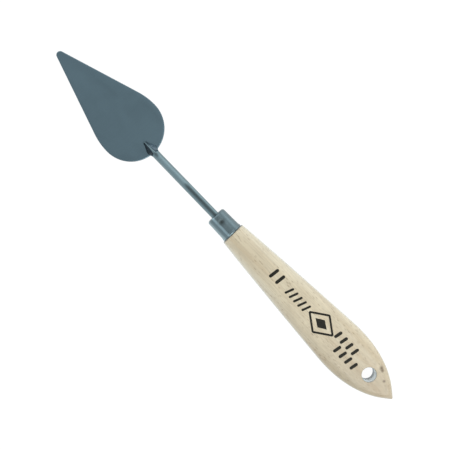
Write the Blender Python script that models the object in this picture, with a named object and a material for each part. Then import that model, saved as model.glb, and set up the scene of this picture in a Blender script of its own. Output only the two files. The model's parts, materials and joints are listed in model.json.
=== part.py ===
"""Painting knife: a teardrop blade on a cranked shank, held in a beech handle by a steel ferrule.

Units are metres. The knife is laid out in a straight frame: X runs along the handle's axis from
the butt (0) to the blade's tip (LENGTH), Y is across, Z is up, and the handle's axis is at Z = 0.
Every sub-part hangs on one empty, which tips that frame a little, so that the knife lies as it
does on a table: the blade's tongue and the handle's belly touch Z = 0, and the box of the whole
knife is centred on X = Y = 0.
"""

import math

import bmesh
import bpy
from mathutils import Matrix, Vector

# ---- driving dimensions -------------------------------------------------------------------

LENGTH = 0.2100                # butt to blade tip
GAP = 0.0001                   # clearance between pieces that touch

BLADE_THICKNESS = 0.00055
BLADE_DROP = 0.0120            # handle axis down to the blade's middle plane
TIP_RADIUS = 0.0017
FLANK_ANGLE = math.radians(18.2)
SHOULDER_RADIUS = 0.0292       # from the straight flank to the widest place
HEEL_RADIUS = 0.01475          # half the blade's greatest width
HEEL_TO_TIP = 0.0458           # heel arc's centre to the tip
TONGUE_HALF_WIDTH = 0.0019
TONGUE_END = 0.0614            # tongue's square end to the tip
TONGUE_FILLET = 0.0009

SHANK_RADIUS = 0.0018
SPINE_START = 0.0540           # spine's point to the tip
SPINE_END = 0.0614             # where the spine has grown to the shank's full radius
SPINE_TIP_RADIUS = 0.00055
CRANK_FOOT = 0.0633            # lower bend to the tip
CRANK_HEAD = 0.0812            # upper bend to the tip
BEND_RADIUS = 0.0060
TANG_END_X = 0.0855
TANG_CHAMFER = 0.0005

WELD_FLOOR = 0.00020           # filler under the spine
WELD_FRONT = 0.0546            # front of the fillet to the tip
WELD_WIDEST = 0.0592           # widest place of the fillet to the tip
WELD_REAR = 0.0606             # rear of the fillet to the tip
WELD_FRONT_HALF_WIDTH = 0.0009
WELD_GREATEST_HALF_WIDTH = 0.0025
WELD_REAR_HALF_WIDTH = 0.00195
WELD_SHOULDER_ANGLE = math.radians(15)
WELD_HOLLOW = 0.25             # share of the side's width over which it sweeps down to the blade

FERRULE_FRONT_X = 0.1114
FERRULE_REAR_X = 0.1008
FERRULE_FRONT_RADIUS = 0.00447
FERRULE_REAR_RADIUS = 0.00474
FERRULE_WALL = 0.0005
FERRULE_SHOULDER = 0.0011      # rounding of the front edge
BEAD_LENGTH = 0.0011
BEAD_HEIGHT = 0.00022
BEAD_EDGE = 0.9                # share of the bead's round that is left at the rear edge's height
DIMPLE_X = 0.1077
DIMPLE_RADIUS = 0.0015
DIMPLE_DEPTH = 0.0003

HANDLE_LENGTH = 0.1006         # shoulder at the ferrule to the butt
HANDLE_FRONT_HALF_WIDTH = 0.00555
HANDLE_EDGE_ROUNDING = 0.0005
HANDLE_EDGE_STEPS = 4
FLANK_SLOPE = 0.114
FLANK_HANDLE = 0.0114
BELLY_AT = 0.0674              # shoulder to the widest place
BELLY_HALF_WIDTH = 0.01106
BELLY_HANDLES = (0.0023, 0.0046)
BUTT_HANDLE = 0.0178
BUTT_ANGLE = math.radians(41.6)  # half the angle between the butt's sides
NOSE_RADIUS = 0.0006           # rounding of the butt's point
NOSE_END = math.radians(12)    # the nose's last station, short of the axis
NOSE_CLEARANCE = 1.5           # butt points closer to the axis than this many tangents are dropped
FLAT_FRONT = 0.0066            # height of the sawn flats over the axis at the shoulder
FLAT_FALL = 0.0039             # how much lower the flats are at the butt
FLAT_POWER = 3
FLAT_SOFTNESS = 8              # how softly the round runs into the flats
FLAT_SQUARENESS = 3.2          # how quickly the section grows squarer as it is cut flatter
FLAT_LEVEL = 0.08              # how much of the round the flats cut level, where it is flattest
SPIGOT_LENGTH = 0.0098
SPIGOT_CHAMFER = 0.0003
BORE_RADIUS = 0.0025
BORE_BOTTOM_X = 0.0840
HANGING_HOLE_X = 0.0160
HANGING_HOLE_RADIUS = 0.0032
HOLE_LIP = 0.0003
LIP_OVERRUN = 5                # how far past the face the lip's cutter runs, in lips

ROUND_SIDES = 40
HANDLE_SIDES = 44
SHANK_SIDES = 20
HOLE_SIDES = 48
BLADE_ARC_STEPS = 10
SMOOTH_LIMIT = math.radians(35)

BLADE_Z = -BLADE_DROP
BLADE_TOP_Z = BLADE_Z + BLADE_THICKNESS / 2
BLADE_BOTTOM_Z = BLADE_Z - BLADE_THICKNESS / 2
WELD_BOTTOM_Z = BLADE_TOP_Z + GAP
SPINE_BOTTOM_Z = WELD_BOTTOM_Z + WELD_FLOOR + GAP


# ---- helpers ------------------------------------------------------------------------------

def clear_scene():
    for item in list(bpy.data.objects):
        bpy.data.objects.remove(item, do_unlink=True)


def finish(name, colour, roughness, metallic):
    """A plain Principled material."""
    material = bpy.data.materials.new(name)
    material.use_nodes = True
    shader = material.node_tree.nodes["Principled BSDF"]
    shader.inputs["Base Color"].default_value = (*colour, 1.0)
    shader.inputs["Roughness"].default_value = roughness
    shader.inputs["Metallic"].default_value = metallic
    return material


def add_object(name, bm, origin, material, parent):
    """Turn bm, built in the straight frame, into an object with its origin at a given point."""
    bmesh.ops.recalc_face_normals(bm, faces=bm.faces)
    bmesh.ops.translate(bm, vec=-origin, verts=bm.verts)
    mesh = bpy.data.meshes.new(name)
    bm.to_mesh(mesh)
    bm.free()
    mesh.shade_smooth()
    mesh.set_sharp_from_angle(angle=SMOOTH_LIMIT)
    mesh.materials.append(material)
    item = bpy.data.objects.new(name, mesh)
    bpy.context.scene.collection.objects.link(item)
    item.parent = parent
    item.location = origin
    return item


def loft(rings, closed=False):
    """Skin a run of rings of equal length. The ends are capped, or joined if closed is True."""
    bm = bmesh.new()
    loops = [[bm.verts.new(point) for point in ring] for ring in rings]
    pairs = list(zip(loops, loops[1:]))
    if closed:
        pairs.append((loops[-1], loops[0]))
    for near, far in pairs:
        for i in range(len(near)):
            j = (i + 1) % len(near)
            bm.faces.new((near[i], near[j], far[j], far[i]))
    if not closed:
        bm.faces.new(loops[0])
        bm.faces.new(loops[-1])
    return bm


def angles(count):
    """Angles of a ring's corners. The ring has a flat side, not a corner, at its top and bottom."""
    return [2 * math.pi * (i + 0.5) / count for i in range(count)]


def round_ring(x, radius, sides):
    return [Vector((x, radius * math.cos(a), radius * math.sin(a))) for a in angles(sides)]


def arc(centre_x, centre_y, radius, start, stop, steps):
    """Points on an arc in a plane, both ends included."""
    turns = [start + (stop - start) * i / steps for i in range(steps + 1)]
    return [(centre_x + radius * math.cos(a), centre_y + radius * math.sin(a)) for a in turns]


def bezier(p0, p1, p2, p3, steps):
    """Points on a cubic curve, both ends included."""
    points = []
    for i in range(steps + 1):
        t = i / steps
        weights = ((1 - t) ** 3, 3 * t * (1 - t) ** 2, 3 * t * t * (1 - t), t ** 3)
        corners = zip(weights, (p0, p1, p2, p3))
        terms = [(w * p[0], w * p[1]) for w, p in corners]
        points.append((sum(term[0] for term in terms), sum(term[1] for term in terms)))
    return points


def smooth_step(value):
    value = min(1.0, max(0.0, value))
    return value * value * (3 - 2 * value)


# ---- blade --------------------------------------------------------------------------------

def blade_half_outline():
    """(distance from the tip, half-width) from the tip round one side to the tongue's end."""
    tip = arc(TIP_RADIUS, 0, TIP_RADIUS, math.pi, math.pi / 2 + FLANK_ANGLE, BLADE_ARC_STEPS)
    shoulder = arc(
        HEEL_TO_TIP,
        HEEL_RADIUS - SHOULDER_RADIUS,
        SHOULDER_RADIUS,
        math.pi / 2 + FLANK_ANGLE,
        math.pi / 2,
        BLADE_ARC_STEPS,
    )
    fillet_y = TONGUE_HALF_WIDTH + TONGUE_FILLET
    reach = HEEL_RADIUS + TONGUE_FILLET
    meet = math.asin(fillet_y / reach)
    fillet_x = HEEL_TO_TIP + reach * math.cos(meet)
    heel = arc(HEEL_TO_TIP, 0, HEEL_RADIUS, math.pi / 2, meet, 2 * BLADE_ARC_STEPS)
    fillet = arc(
        fillet_x, fillet_y, TONGUE_FILLET, math.pi + meet, 1.5 * math.pi, BLADE_ARC_STEPS // 2
    )
    return tip + shoulder + heel[1:] + fillet[1:] + [(TONGUE_END, TONGUE_HALF_WIDTH)]


def blade_mesh():
    side = [(LENGTH - d, y) for d, y in blade_half_outline()]
    outline = side + [(x, -y) for x, y in reversed(side[1:])]
    bottom = [Vector((x, y, BLADE_BOTTOM_Z)) for x, y in outline]
    top = [Vector((x, y, BLADE_TOP_Z)) for x, y in outline]
    return loft([bottom, top])


# ---- shank --------------------------------------------------------------------------------

def bend(corner, direction, inward, turn, steps=6):
    """Stations along a round bend at a corner of the rod's path, from direction towards inward."""
    start = corner - direction * BEND_RADIUS * math.tan(turn / 2)
    centre = start + inward * BEND_RADIUS
    stations = []
    for i in range(steps + 1):
        c, s = math.cos(turn * i / steps), math.sin(turn * i / steps)
        point = centre + (direction * s - inward * c) * BEND_RADIUS
        stations.append((point, direction * c + inward * s, SHANK_RADIUS))
    return stations


def spine_radius(distance):
    share = (distance - SPINE_START) / (SPINE_END - SPINE_START)
    return SPINE_TIP_RADIUS + (SHANK_RADIUS - SPINE_TIP_RADIUS) * smooth_step(share)


def shank_path():
    """(point, direction, radius) along the rod in the XZ plane, from the spine to the tang."""
    back, up = Vector((-1, 0)), Vector((0, 1))
    foot = Vector((LENGTH - CRANK_FOOT, SPINE_BOTTOM_Z + SHANK_RADIUS))
    head = Vector((LENGTH - CRANK_HEAD, 0))
    rise = math.atan2(head.y - foot.y, foot.x - head.x)
    climb = back * math.cos(rise) + up * math.sin(rise)
    over = back * math.sin(rise) - up * math.cos(rise)
    stations = []
    spine_steps = 10
    for i in range(spine_steps + 1):
        distance = SPINE_START + (SPINE_END - SPINE_START) * i / spine_steps
        radius = spine_radius(distance)
        point = Vector((LENGTH - distance, SPINE_BOTTOM_Z + radius))
        stations.append((point, back, radius))
    stations += bend(foot, back, up, rise)
    stations += bend(head, climb, over, rise)
    stations.append((Vector((TANG_END_X + TANG_CHAMFER, 0)), back, SHANK_RADIUS))
    stations.append((Vector((TANG_END_X, 0)), back, SHANK_RADIUS - TANG_CHAMFER))
    return stations


def shank_mesh():
    rings = []
    for centre, direction, radius in shank_path():
        up = Vector((-direction.y, direction.x))
        ring = []
        for a in angles(SHANK_SIDES):
            flat = centre + up * radius * math.sin(a)
            ring.append(Vector((flat.x, radius * math.cos(a), flat.y)))
        rings.append(ring)
    return loft(rings)


# ---- weld ---------------------------------------------------------------------------------

def weld_half_width(distance):
    if distance < WELD_WIDEST:
        share = (distance - WELD_FRONT) / (WELD_WIDEST - WELD_FRONT)
        grown = WELD_GREATEST_HALF_WIDTH - WELD_FRONT_HALF_WIDTH
        return WELD_FRONT_HALF_WIDTH + grown * smooth_step(share)
    share = (distance - WELD_WIDEST) / (WELD_REAR - WELD_WIDEST)
    shrunk = WELD_GREATEST_HALF_WIDTH - WELD_REAR_HALF_WIDTH
    return WELD_GREATEST_HALF_WIDTH - shrunk * smooth_step(share)


def weld_section(distance):
    """A low fillet with a groove that the spine lies in, as one closed section."""
    half_width = weld_half_width(distance)
    groove = spine_radius(distance) + GAP
    centre_z = WELD_BOTTOM_Z + WELD_FLOOR + groove
    start = math.pi + WELD_SHOULDER_ANGLE
    inner = arc(0, centre_z, groove, start, 3 * math.pi - start, 8)
    shoulder_y, shoulder_z = inner[-1]
    foot_z = WELD_BOTTOM_Z + GAP
    side = bezier(
        (shoulder_y, shoulder_z),
        (shoulder_y + WELD_HOLLOW * (half_width - shoulder_y), foot_z),
        (half_width, foot_z),
        (half_width, foot_z),
        4,
    )
    right = side[1:] + [(half_width, WELD_BOTTOM_Z)]
    left = [(-y, z) for y, z in reversed(right)]
    x = LENGTH - distance
    return [Vector((x, y, z)) for y, z in inner + right + left]


def weld_mesh():
    steps = 10
    length = WELD_REAR - WELD_FRONT
    return loft([weld_section(WELD_FRONT + length * i / steps) for i in range(steps + 1)])


# ---- ferrule ------------------------------------------------------------------------------

def ferrule_radius(x):
    """Outer radius of the plain cone, without the bead."""
    share = (FERRULE_FRONT_X - x) / (FERRULE_FRONT_X - FERRULE_REAR_X)
    return FERRULE_FRONT_RADIUS + (FERRULE_REAR_RADIUS - FERRULE_FRONT_RADIUS) * share


def ferrule_profile():
    """(x, radius) once round the wall's section, outer side first, front to rear."""
    hole = SHANK_RADIUS + GAP
    edge_r = ferrule_radius(FERRULE_FRONT_X - FERRULE_SHOULDER) - FERRULE_SHOULDER
    shoulder = arc(
        FERRULE_FRONT_X - FERRULE_SHOULDER, edge_r, FERRULE_SHOULDER, 0, math.pi / 2, 6
    )
    barrel_steps = 14
    barrel_start = FERRULE_FRONT_X - FERRULE_SHOULDER
    barrel_end = FERRULE_REAR_X + BEAD_LENGTH
    barrel = []
    for i in range(1, barrel_steps + 1):
        x = barrel_start + (barrel_end - barrel_start) * i / barrel_steps
        barrel.append((x, ferrule_radius(x)))
    bead = []
    bead_steps = 6
    for i in range(1, bead_steps + 1):
        share = i / bead_steps
        x = barrel_end - BEAD_LENGTH * share
        swell = math.sin(math.pi * min(share, BEAD_EDGE))
        bead.append((x, ferrule_radius(x) + BEAD_HEIGHT * swell))
    inner = [
        (FERRULE_REAR_X, ferrule_radius(FERRULE_REAR_X) - FERRULE_WALL),
        (barrel_start, ferrule_radius(barrel_start) - FERRULE_WALL),
        (FERRULE_FRONT_X - FERRULE_WALL, edge_r),
        (FERRULE_FRONT_X - FERRULE_WALL, hole),
    ]
    return [(FERRULE_FRONT_X, hole)] + shoulder + barrel + bead + inner


def dimple_depth(x, y):
    spread = math.hypot(x - DIMPLE_X, y) / DIMPLE_RADIUS
    return DIMPLE_DEPTH * (1 - smooth_step(spread))


def ferrule_mesh():
    profile = ferrule_profile()
    rings = []
    for a in angles(ROUND_SIDES):
        ring = []
        for x, radius in profile:
            y, z = radius * math.cos(a), radius * math.sin(a)
            is_outer_wall = radius >= ferrule_radius(x) - GAP
            if z > 0 and is_outer_wall:
                z -= dimple_depth(x, y)
            ring.append(Vector((x, y, z)))
        rings.append(ring)
    return loft(rings, closed=True)


# ---- handle -------------------------------------------------------------------------------

def handle_outline():
    """(distance from the shoulder, half-width) from the shoulder to the rounded point of the butt."""
    apex = HANDLE_LENGTH + NOSE_RADIUS * (1 / math.sin(BUTT_ANGLE) - 1)
    flank = bezier(
        (0, HANDLE_FRONT_HALF_WIDTH),
        (FLANK_HANDLE, HANDLE_FRONT_HALF_WIDTH + FLANK_SLOPE * FLANK_HANDLE),
        (BELLY_AT - BELLY_HANDLES[0], BELLY_HALF_WIDTH),
        (BELLY_AT, BELLY_HALF_WIDTH),
        14,
    )
    butt = bezier(
        (BELLY_AT, BELLY_HALF_WIDTH),
        (BELLY_AT + BELLY_HANDLES[1], BELLY_HALF_WIDTH),
        (apex - BUTT_HANDLE * math.cos(BUTT_ANGLE), BUTT_HANDLE * math.sin(BUTT_ANGLE)),
        (apex, 0),
        18,
    )
    tangent = NOSE_RADIUS * math.cos(BUTT_ANGLE)
    sides = [point for point in butt[1:] if point[1] > NOSE_CLEARANCE * tangent]
    nose_start = math.pi / 2 - BUTT_ANGLE
    nose = arc(HANDLE_LENGTH - NOSE_RADIUS, 0, NOSE_RADIUS, nose_start, NOSE_END, 4)
    return flank[1:] + sides + nose


def handle_section(distance, half_width):
    """A turned round, cut by two flats that sink slowly towards the butt, with soft edges."""
    flat = FLAT_FRONT - FLAT_FALL * (distance / HANDLE_LENGTH) ** FLAT_POWER
    softness = FLAT_SOFTNESS
    half_height = (half_width ** -softness + flat ** -softness) ** (-1 / softness)
    flattening = 1 - half_height / half_width
    power = 2 / (2 + FLAT_SQUARENESS * flattening)
    level = 1 - FLAT_LEVEL * flattening
    ring = []
    for a in angles(HANDLE_SIDES):
        c, s = math.cos(a), math.sin(a)
        y = half_width * math.copysign(abs(c) ** power, c)
        z = half_height * math.copysign(min(abs(s) ** power / level, 1), s)
        ring.append(Vector((HANDLE_LENGTH - distance, y, z)))
    return ring


def handle_rings():
    shoulder_x = HANDLE_LENGTH
    spigot_front = shoulder_x + SPIGOT_LENGTH
    spigot_rear_r = ferrule_radius(FERRULE_REAR_X) - FERRULE_WALL - GAP
    spigot_front_r = ferrule_radius(spigot_front) - FERRULE_WALL - GAP
    chamfer = SPIGOT_CHAMFER
    sides = HANDLE_SIDES
    rings = [
        round_ring(BORE_BOTTOM_X, BORE_RADIUS, sides),
        round_ring(spigot_front, BORE_RADIUS, sides),
        round_ring(spigot_front, spigot_front_r - chamfer, sides),
        round_ring(spigot_front - chamfer, spigot_front_r, sides),
        round_ring(shoulder_x, spigot_rear_r, sides),
    ]
    rounding = HANDLE_EDGE_ROUNDING
    for i in range(HANDLE_EDGE_STEPS + 1):
        turn = math.pi / 2 * i / HANDLE_EDGE_STEPS
        distance = rounding * (1 - math.cos(turn))
        half_width = HANDLE_FRONT_HALF_WIDTH - rounding * (1 - math.sin(turn))
        rings.append(handle_section(distance, half_width))
    rings += [handle_section(distance, half_width) for distance, half_width in handle_outline()]
    return rings


def hole_cutter(parent):
    """A turned cutter with a flared lip at each face of the handle."""
    face = FLAT_FRONT - FLAT_FALL * (1 - HANGING_HOLE_X / HANDLE_LENGTH) ** FLAT_POWER
    lip_z = face - HOLE_LIP
    flare = LIP_OVERRUN * HOLE_LIP
    profile = (
        (-lip_z - flare, HANGING_HOLE_RADIUS + flare),
        (-lip_z, HANGING_HOLE_RADIUS),
        (lip_z, HANGING_HOLE_RADIUS),
        (lip_z + flare, HANGING_HOLE_RADIUS + flare),
    )
    rings = []
    for z, radius in profile:
        rings.append(
            [
                Vector((HANGING_HOLE_X + radius * math.cos(a), radius * math.sin(a), z))
                for a in angles(HOLE_SIDES)
            ]
        )
    material = finish("cutter", (1, 0, 0), 0.5, 0.0)
    origin = Vector((HANGING_HOLE_X, 0, 0))
    cutter = add_object("hanging_hole_cutter", loft(rings), origin, material, parent)
    cutter.hide_render = True
    cutter.display_type = "WIRE"
    return cutter


# ---- adhesive -----------------------------------------------------------------------------

def adhesive_mesh():
    """A cup round the tang: sleeve wall and bottom."""
    mouth = HANDLE_LENGTH + SPIGOT_LENGTH - 2 * GAP
    inner = SHANK_RADIUS + GAP
    outer = BORE_RADIUS - GAP
    bottom = BORE_BOTTOM_X + GAP
    rings = [
        round_ring(bottom, outer, ROUND_SIDES // 2),
        round_ring(mouth, outer, ROUND_SIDES // 2),
        round_ring(mouth, inner, ROUND_SIDES // 2),
        round_ring(TANG_END_X - GAP, inner, ROUND_SIDES // 2),
    ]
    return loft(rings)


# ---- rest pose ----------------------------------------------------------------------------

def rest_frame():
    """The empty that lays the knife on Z = 0, on the tongue's end and the handle's belly."""
    heel = Vector((LENGTH - TONGUE_END, 0, BLADE_BOTTOM_Z))
    lowest = []
    for distance, half_width in handle_outline():
        ring = handle_section(distance, half_width)
        lowest.append(min(ring, key=lambda point: point.z))
    tilt = min(math.atan2(p.z - heel.z, heel.x - p.x) for p in lowest)
    turn = Matrix.Rotation(-tilt, 4, "Y")
    tip = turn @ Vector((LENGTH, 0, BLADE_BOTTOM_Z))
    butt = turn @ Vector((0, 0, 0))
    middle = (tip.x + butt.x) / 2
    frame = bpy.data.objects.new("knife_frame", None)
    bpy.context.scene.collection.objects.link(frame)
    frame.rotation_euler = (0, -tilt, 0)
    frame.location = (-middle, 0, -(turn @ heel).z)
    return frame


def main():
    clear_scene()
    frame = rest_frame()

    blade_steel = finish("ground_steel", (0.098, 0.144, 0.171), 0.42, 0.9)
    rod_steel = finish("drawn_steel", (0.30, 0.38, 0.41), 0.32, 1.0)
    filler = finish("weld_filler", (0.17, 0.22, 0.25), 0.55, 0.9)
    cap_steel = finish("ferrule_steel", (0.28, 0.35, 0.39), 0.28, 1.0)
    beech = finish("beech", (0.64, 0.55, 0.39), 0.55, 0.0)
    epoxy = finish("cured_adhesive", (0.70, 0.60, 0.38), 0.3, 0.0)

    flex_line = Vector((LENGTH - SPINE_START, 0, BLADE_Z))
    add_object("blade", blade_mesh(), flex_line, blade_steel, frame)
    add_object("shank", shank_mesh(), Vector((FERRULE_FRONT_X, 0, 0)), rod_steel, frame)
    weld_origin = Vector((LENGTH - WELD_REAR, 0, BLADE_TOP_Z))
    add_object("weld", weld_mesh(), weld_origin, filler, frame)
    add_object("ferrule", ferrule_mesh(), Vector((FERRULE_REAR_X, 0, 0)), cap_steel, frame)
    adhesive_origin = Vector((BORE_BOTTOM_X, 0, 0))
    add_object("tang_adhesive", adhesive_mesh(), adhesive_origin, epoxy, frame)

    shoulder = Vector((HANDLE_LENGTH, 0, 0))
    handle = add_object("handle", loft(handle_rings()), shoulder, beech, frame)
    drill = handle.modifiers.new("hanging_hole", "BOOLEAN")
    drill.operation = "DIFFERENCE"
    drill.solver = "EXACT"
    drill.object = hole_cutter(frame)


main()
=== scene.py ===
import json
import math

import bmesh
import bpy
import numpy as np
from mathutils import Matrix, Vector, noise

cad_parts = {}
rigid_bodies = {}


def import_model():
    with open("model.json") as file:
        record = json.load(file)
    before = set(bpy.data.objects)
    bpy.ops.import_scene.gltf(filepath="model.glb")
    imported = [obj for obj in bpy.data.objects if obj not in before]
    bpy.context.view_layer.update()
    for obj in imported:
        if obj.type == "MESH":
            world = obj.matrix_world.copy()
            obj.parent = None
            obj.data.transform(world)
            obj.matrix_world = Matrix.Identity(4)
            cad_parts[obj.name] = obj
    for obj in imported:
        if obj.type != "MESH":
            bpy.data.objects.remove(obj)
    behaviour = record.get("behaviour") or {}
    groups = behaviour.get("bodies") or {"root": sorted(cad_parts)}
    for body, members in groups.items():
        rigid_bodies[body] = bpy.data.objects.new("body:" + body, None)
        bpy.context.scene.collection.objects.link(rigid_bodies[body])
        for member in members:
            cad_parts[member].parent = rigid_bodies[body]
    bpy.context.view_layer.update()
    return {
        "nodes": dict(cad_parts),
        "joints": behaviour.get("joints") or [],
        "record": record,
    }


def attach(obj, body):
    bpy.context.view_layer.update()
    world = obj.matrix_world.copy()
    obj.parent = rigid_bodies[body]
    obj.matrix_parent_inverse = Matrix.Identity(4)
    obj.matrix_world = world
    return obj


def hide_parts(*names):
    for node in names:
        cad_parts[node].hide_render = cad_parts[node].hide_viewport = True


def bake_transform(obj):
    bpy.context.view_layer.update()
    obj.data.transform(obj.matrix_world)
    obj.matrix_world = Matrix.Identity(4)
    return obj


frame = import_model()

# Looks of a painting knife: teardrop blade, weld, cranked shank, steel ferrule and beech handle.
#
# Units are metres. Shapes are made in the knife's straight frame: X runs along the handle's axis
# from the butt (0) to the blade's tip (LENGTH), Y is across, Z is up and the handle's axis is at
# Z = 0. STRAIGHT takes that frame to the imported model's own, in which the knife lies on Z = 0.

# ---- dimensions -----------------------------------------------------------------------------

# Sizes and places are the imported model's. Those under a comment are this scene's own, for edges,
# the spine's ridge and the weld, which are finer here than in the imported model.

LENGTH = 0.2100
BLADE_THICKNESS = 0.00055
BLADE_DROP = 0.0120
TIP_RADIUS = 0.0017
FLANK_ANGLE = math.radians(18.2)
SHOULDER_RADIUS = 0.0292
HEEL_RADIUS = 0.01475
HEEL_TO_TIP = 0.0458
TONGUE_HALF_WIDTH = 0.0019
TONGUE_END = 0.0614
TONGUE_FILLET = 0.0009
BLADE_RIM = 0.0004
# (share of the rim in from the outline, share of half the thickness) from the face to the edge,
# and the heights between which the rim's painted shade fades out
RIM_PROFILE = ((1.0, 1.0), (0.62, 0.93), (0.30, 0.76), (0.08, 0.45))
RIM_SHADE_FROM = 0.50
RIM_SHADE_TO = 0.95

SHANK_RADIUS = 0.0018
SPINE_START = 0.0540
SPINE_END = 0.0614
SPINE_TIP_RADIUS = 0.00055
CRANK_FOOT = 0.0633
CRANK_HEAD = 0.0812
BEND_RADIUS = 0.0060
TANG_END_X = 0.0855
TANG_CHAMFER = 0.0005
# how sharply the spine's top is pinched, how much it is narrowed, and the share of its length
# after which it turns round
SPINE_PINCH = 4.0
SPINE_NARROWING = 0.55
SPINE_RIDGE_END = 0.88

WELD_FRONT = 0.0546
WELD_WIDEST = 0.0592
WELD_REAR = 0.0606
WELD_FRONT_HALF_WIDTH = 0.0009
WELD_GREATEST_HALF_WIDTH = 0.0025
WELD_REAR_HALF_WIDTH = 0.00195
# the filler's level top in radii of the spine, how its flanks bulge, the share of its length at
# each end that has fewer lumps, and the lumps
WELD_SHELF = 1.55
WELD_BULGE = 0.7
WELD_ENDS = 0.12
LUMP_HEIGHT = 0.00016
LUMPS_PER_METRE = 1300

FERRULE_FRONT_X = 0.1114
FERRULE_REAR_X = 0.1008
FERRULE_FRONT_RADIUS = 0.00447
FERRULE_REAR_RADIUS = 0.00474
FERRULE_WALL = 0.0005
FERRULE_SHOULDER = 0.0011
FERRULE_HOLE_LIP = 0.00012
BEAD_LENGTH = 0.0011
BEAD_HEIGHT = 0.00022
BEAD_EDGE = 0.9
DIMPLE_X = 0.1077
DIMPLE_RADIUS = 0.0016
DIMPLE_DEPTH = 0.00032

HANDLE_LENGTH = 0.1006
HANDLE_FRONT_HALF_WIDTH = 0.00555
HANDLE_EDGE_ROUNDING = 0.0005
FLANK_SLOPE = 0.114
FLANK_HANDLE = 0.0114
BELLY_AT = 0.0674
BELLY_HALF_WIDTH = 0.01106
BELLY_HANDLES = (0.0023, 0.0046)
BUTT_HANDLE = 0.0178
BUTT_ANGLE = math.radians(41.6)
NOSE_RADIUS = 0.0006
FLAT_FRONT = 0.0066
FLAT_FALL = 0.0039
FLAT_POWER = 3
FLAT_SOFTNESS = 8
FLAT_SQUARENESS = 3.2
FLAT_LEVEL = 0.08
SPIGOT_LENGTH = 0.0098
SPIGOT_CHAMFER = 0.0003
BORE_RADIUS = 0.0025
BORE_BOTTOM_X = 0.0840
HANGING_HOLE_X = 0.0160
HANGING_HOLE_RADIUS = 0.0032
HOLE_LIP = 0.0004
# how far round the hole's lip turns, and how the cutter flares and stands over the faces
HOLE_LIP_TURN = math.radians(72)
CUTTER_FLARE = 0.0001
CUTTER_PROUD = 0.001

GAP = 0.0001
WELD_FLOOR = 0.0002
MM = 0.001

BLADE_TOP_Z = -BLADE_DROP + BLADE_THICKNESS / 2
WELD_BOTTOM_Z = BLADE_TOP_Z + GAP
SPINE_BOTTOM_Z = WELD_BOTTOM_Z + WELD_FLOOR + GAP

joint = frame["joints"][0]
body_grip, body_blade = joint["parent"], joint["child"]
pivot = Vector(joint["pos_m"])
blade_normal = frame["record"]["mounts"][0]["axis"]
STRAIGHT = (
    Matrix.Translation(pivot)
    @ Matrix.Rotation(-math.asin(blade_normal[0]), 4, "Y")
    @ Matrix.Translation(Vector((SPINE_START - LENGTH, 0, BLADE_DROP)))
)


# ---- small geometry helpers -----------------------------------------------------------------

def smooth_step(value):
    value = min(1.0, max(0.0, value))
    return value * value * (3 - 2 * value)


def mix(a, b, share):
    return a + (b - a) * share


def arc(centre_x, centre_y, radius, start, stop, steps):
    """Points on an arc in a plane, both ends included."""
    turns = np.linspace(start, stop, steps + 1)
    return [(centre_x + radius * math.cos(a), centre_y + radius * math.sin(a)) for a in turns]


def line(p, q, steps):
    """Points on a line, both ends included."""
    return [(mix(p[0], q[0], t), mix(p[1], q[1], t)) for t in np.linspace(0, 1, steps + 1)]


def bezier(p0, p1, p2, p3, steps):
    """Points on a cubic curve, both ends included."""
    t = np.linspace(0, 1, steps + 1)[:, None]
    corners = [np.array(p, float) for p in (p0, p1, p2, p3)]
    weights = ((1 - t) ** 3, 3 * t * (1 - t) ** 2, 3 * t * t * (1 - t), t ** 3)
    return [tuple(p) for p in sum(w * c for w, c in zip(weights, corners))]


def angles(count):
    return [2 * math.pi * (i + 0.5) / count for i in range(count)]


def round_ring(x, radius, sides):
    return [(x, radius * math.cos(a), radius * math.sin(a)) for a in angles(sides)]


class Shape:
    """Corners and faces of one piece, gathered before they become a mesh."""

    def __init__(self):
        self.points = []
        self.faces = []

    def add(self, points):
        first = len(self.points)
        self.points.extend(tuple(p) for p in points)
        return list(range(first, first + len(points)))

    def skin(self, near, far, closed=True):
        """Quads between two runs of corners of equal length."""
        count = len(near) if closed else len(near) - 1
        for i in range(count):
            j = (i + 1) % len(near)
            self.faces.append((near[i], near[j], far[j], far[i]))

    def loft(self, rings, caps=True, closed=False):
        loops = [self.add(ring) for ring in rings]
        for near, far in zip(loops, loops[1:]):
            self.skin(near, far)
        if closed:
            self.skin(loops[-1], loops[0])
        elif caps:
            self.faces.append(tuple(reversed(loops[0])))
            self.faces.append(tuple(loops[-1]))


def to_object(name, shape, smooth_angle=35):
    """A mesh object, made in the straight frame and placed in the model's own."""
    mesh = bpy.data.meshes.new(name)
    mesh.from_pydata(shape.points, [], shape.faces)
    bm = bmesh.new()
    bm.from_mesh(mesh)
    bmesh.ops.remove_doubles(bm, verts=bm.verts, dist=1e-7)
    bmesh.ops.dissolve_degenerate(bm, edges=bm.edges, dist=1e-8)
    bmesh.ops.recalc_face_normals(bm, faces=bm.faces)
    bm.to_mesh(mesh)
    bm.free()
    mesh.transform(STRAIGHT)
    mesh.shade_smooth()
    mesh.set_sharp_from_angle(angle=math.radians(smooth_angle))
    item = bpy.data.objects.new(name, mesh)
    bpy.context.scene.collection.objects.link(item)
    return item


def dress(item, material, body=None, node=None):
    """Give a piece its material and the body it rides on, and hide the CAD node it stands for."""
    item.data.materials.clear()
    item.data.materials.append(material)
    if body:
        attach(item, body)
    if node:
        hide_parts(node)
    return item


# ---- material helpers -----------------------------------------------------------------------

# the mix node's sockets for colours, which share their names with its other kinds
MIX_SHARE, MIX_LOW, MIX_HIGH = 0, 6, 7
MIX_RESULT = 2


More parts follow.
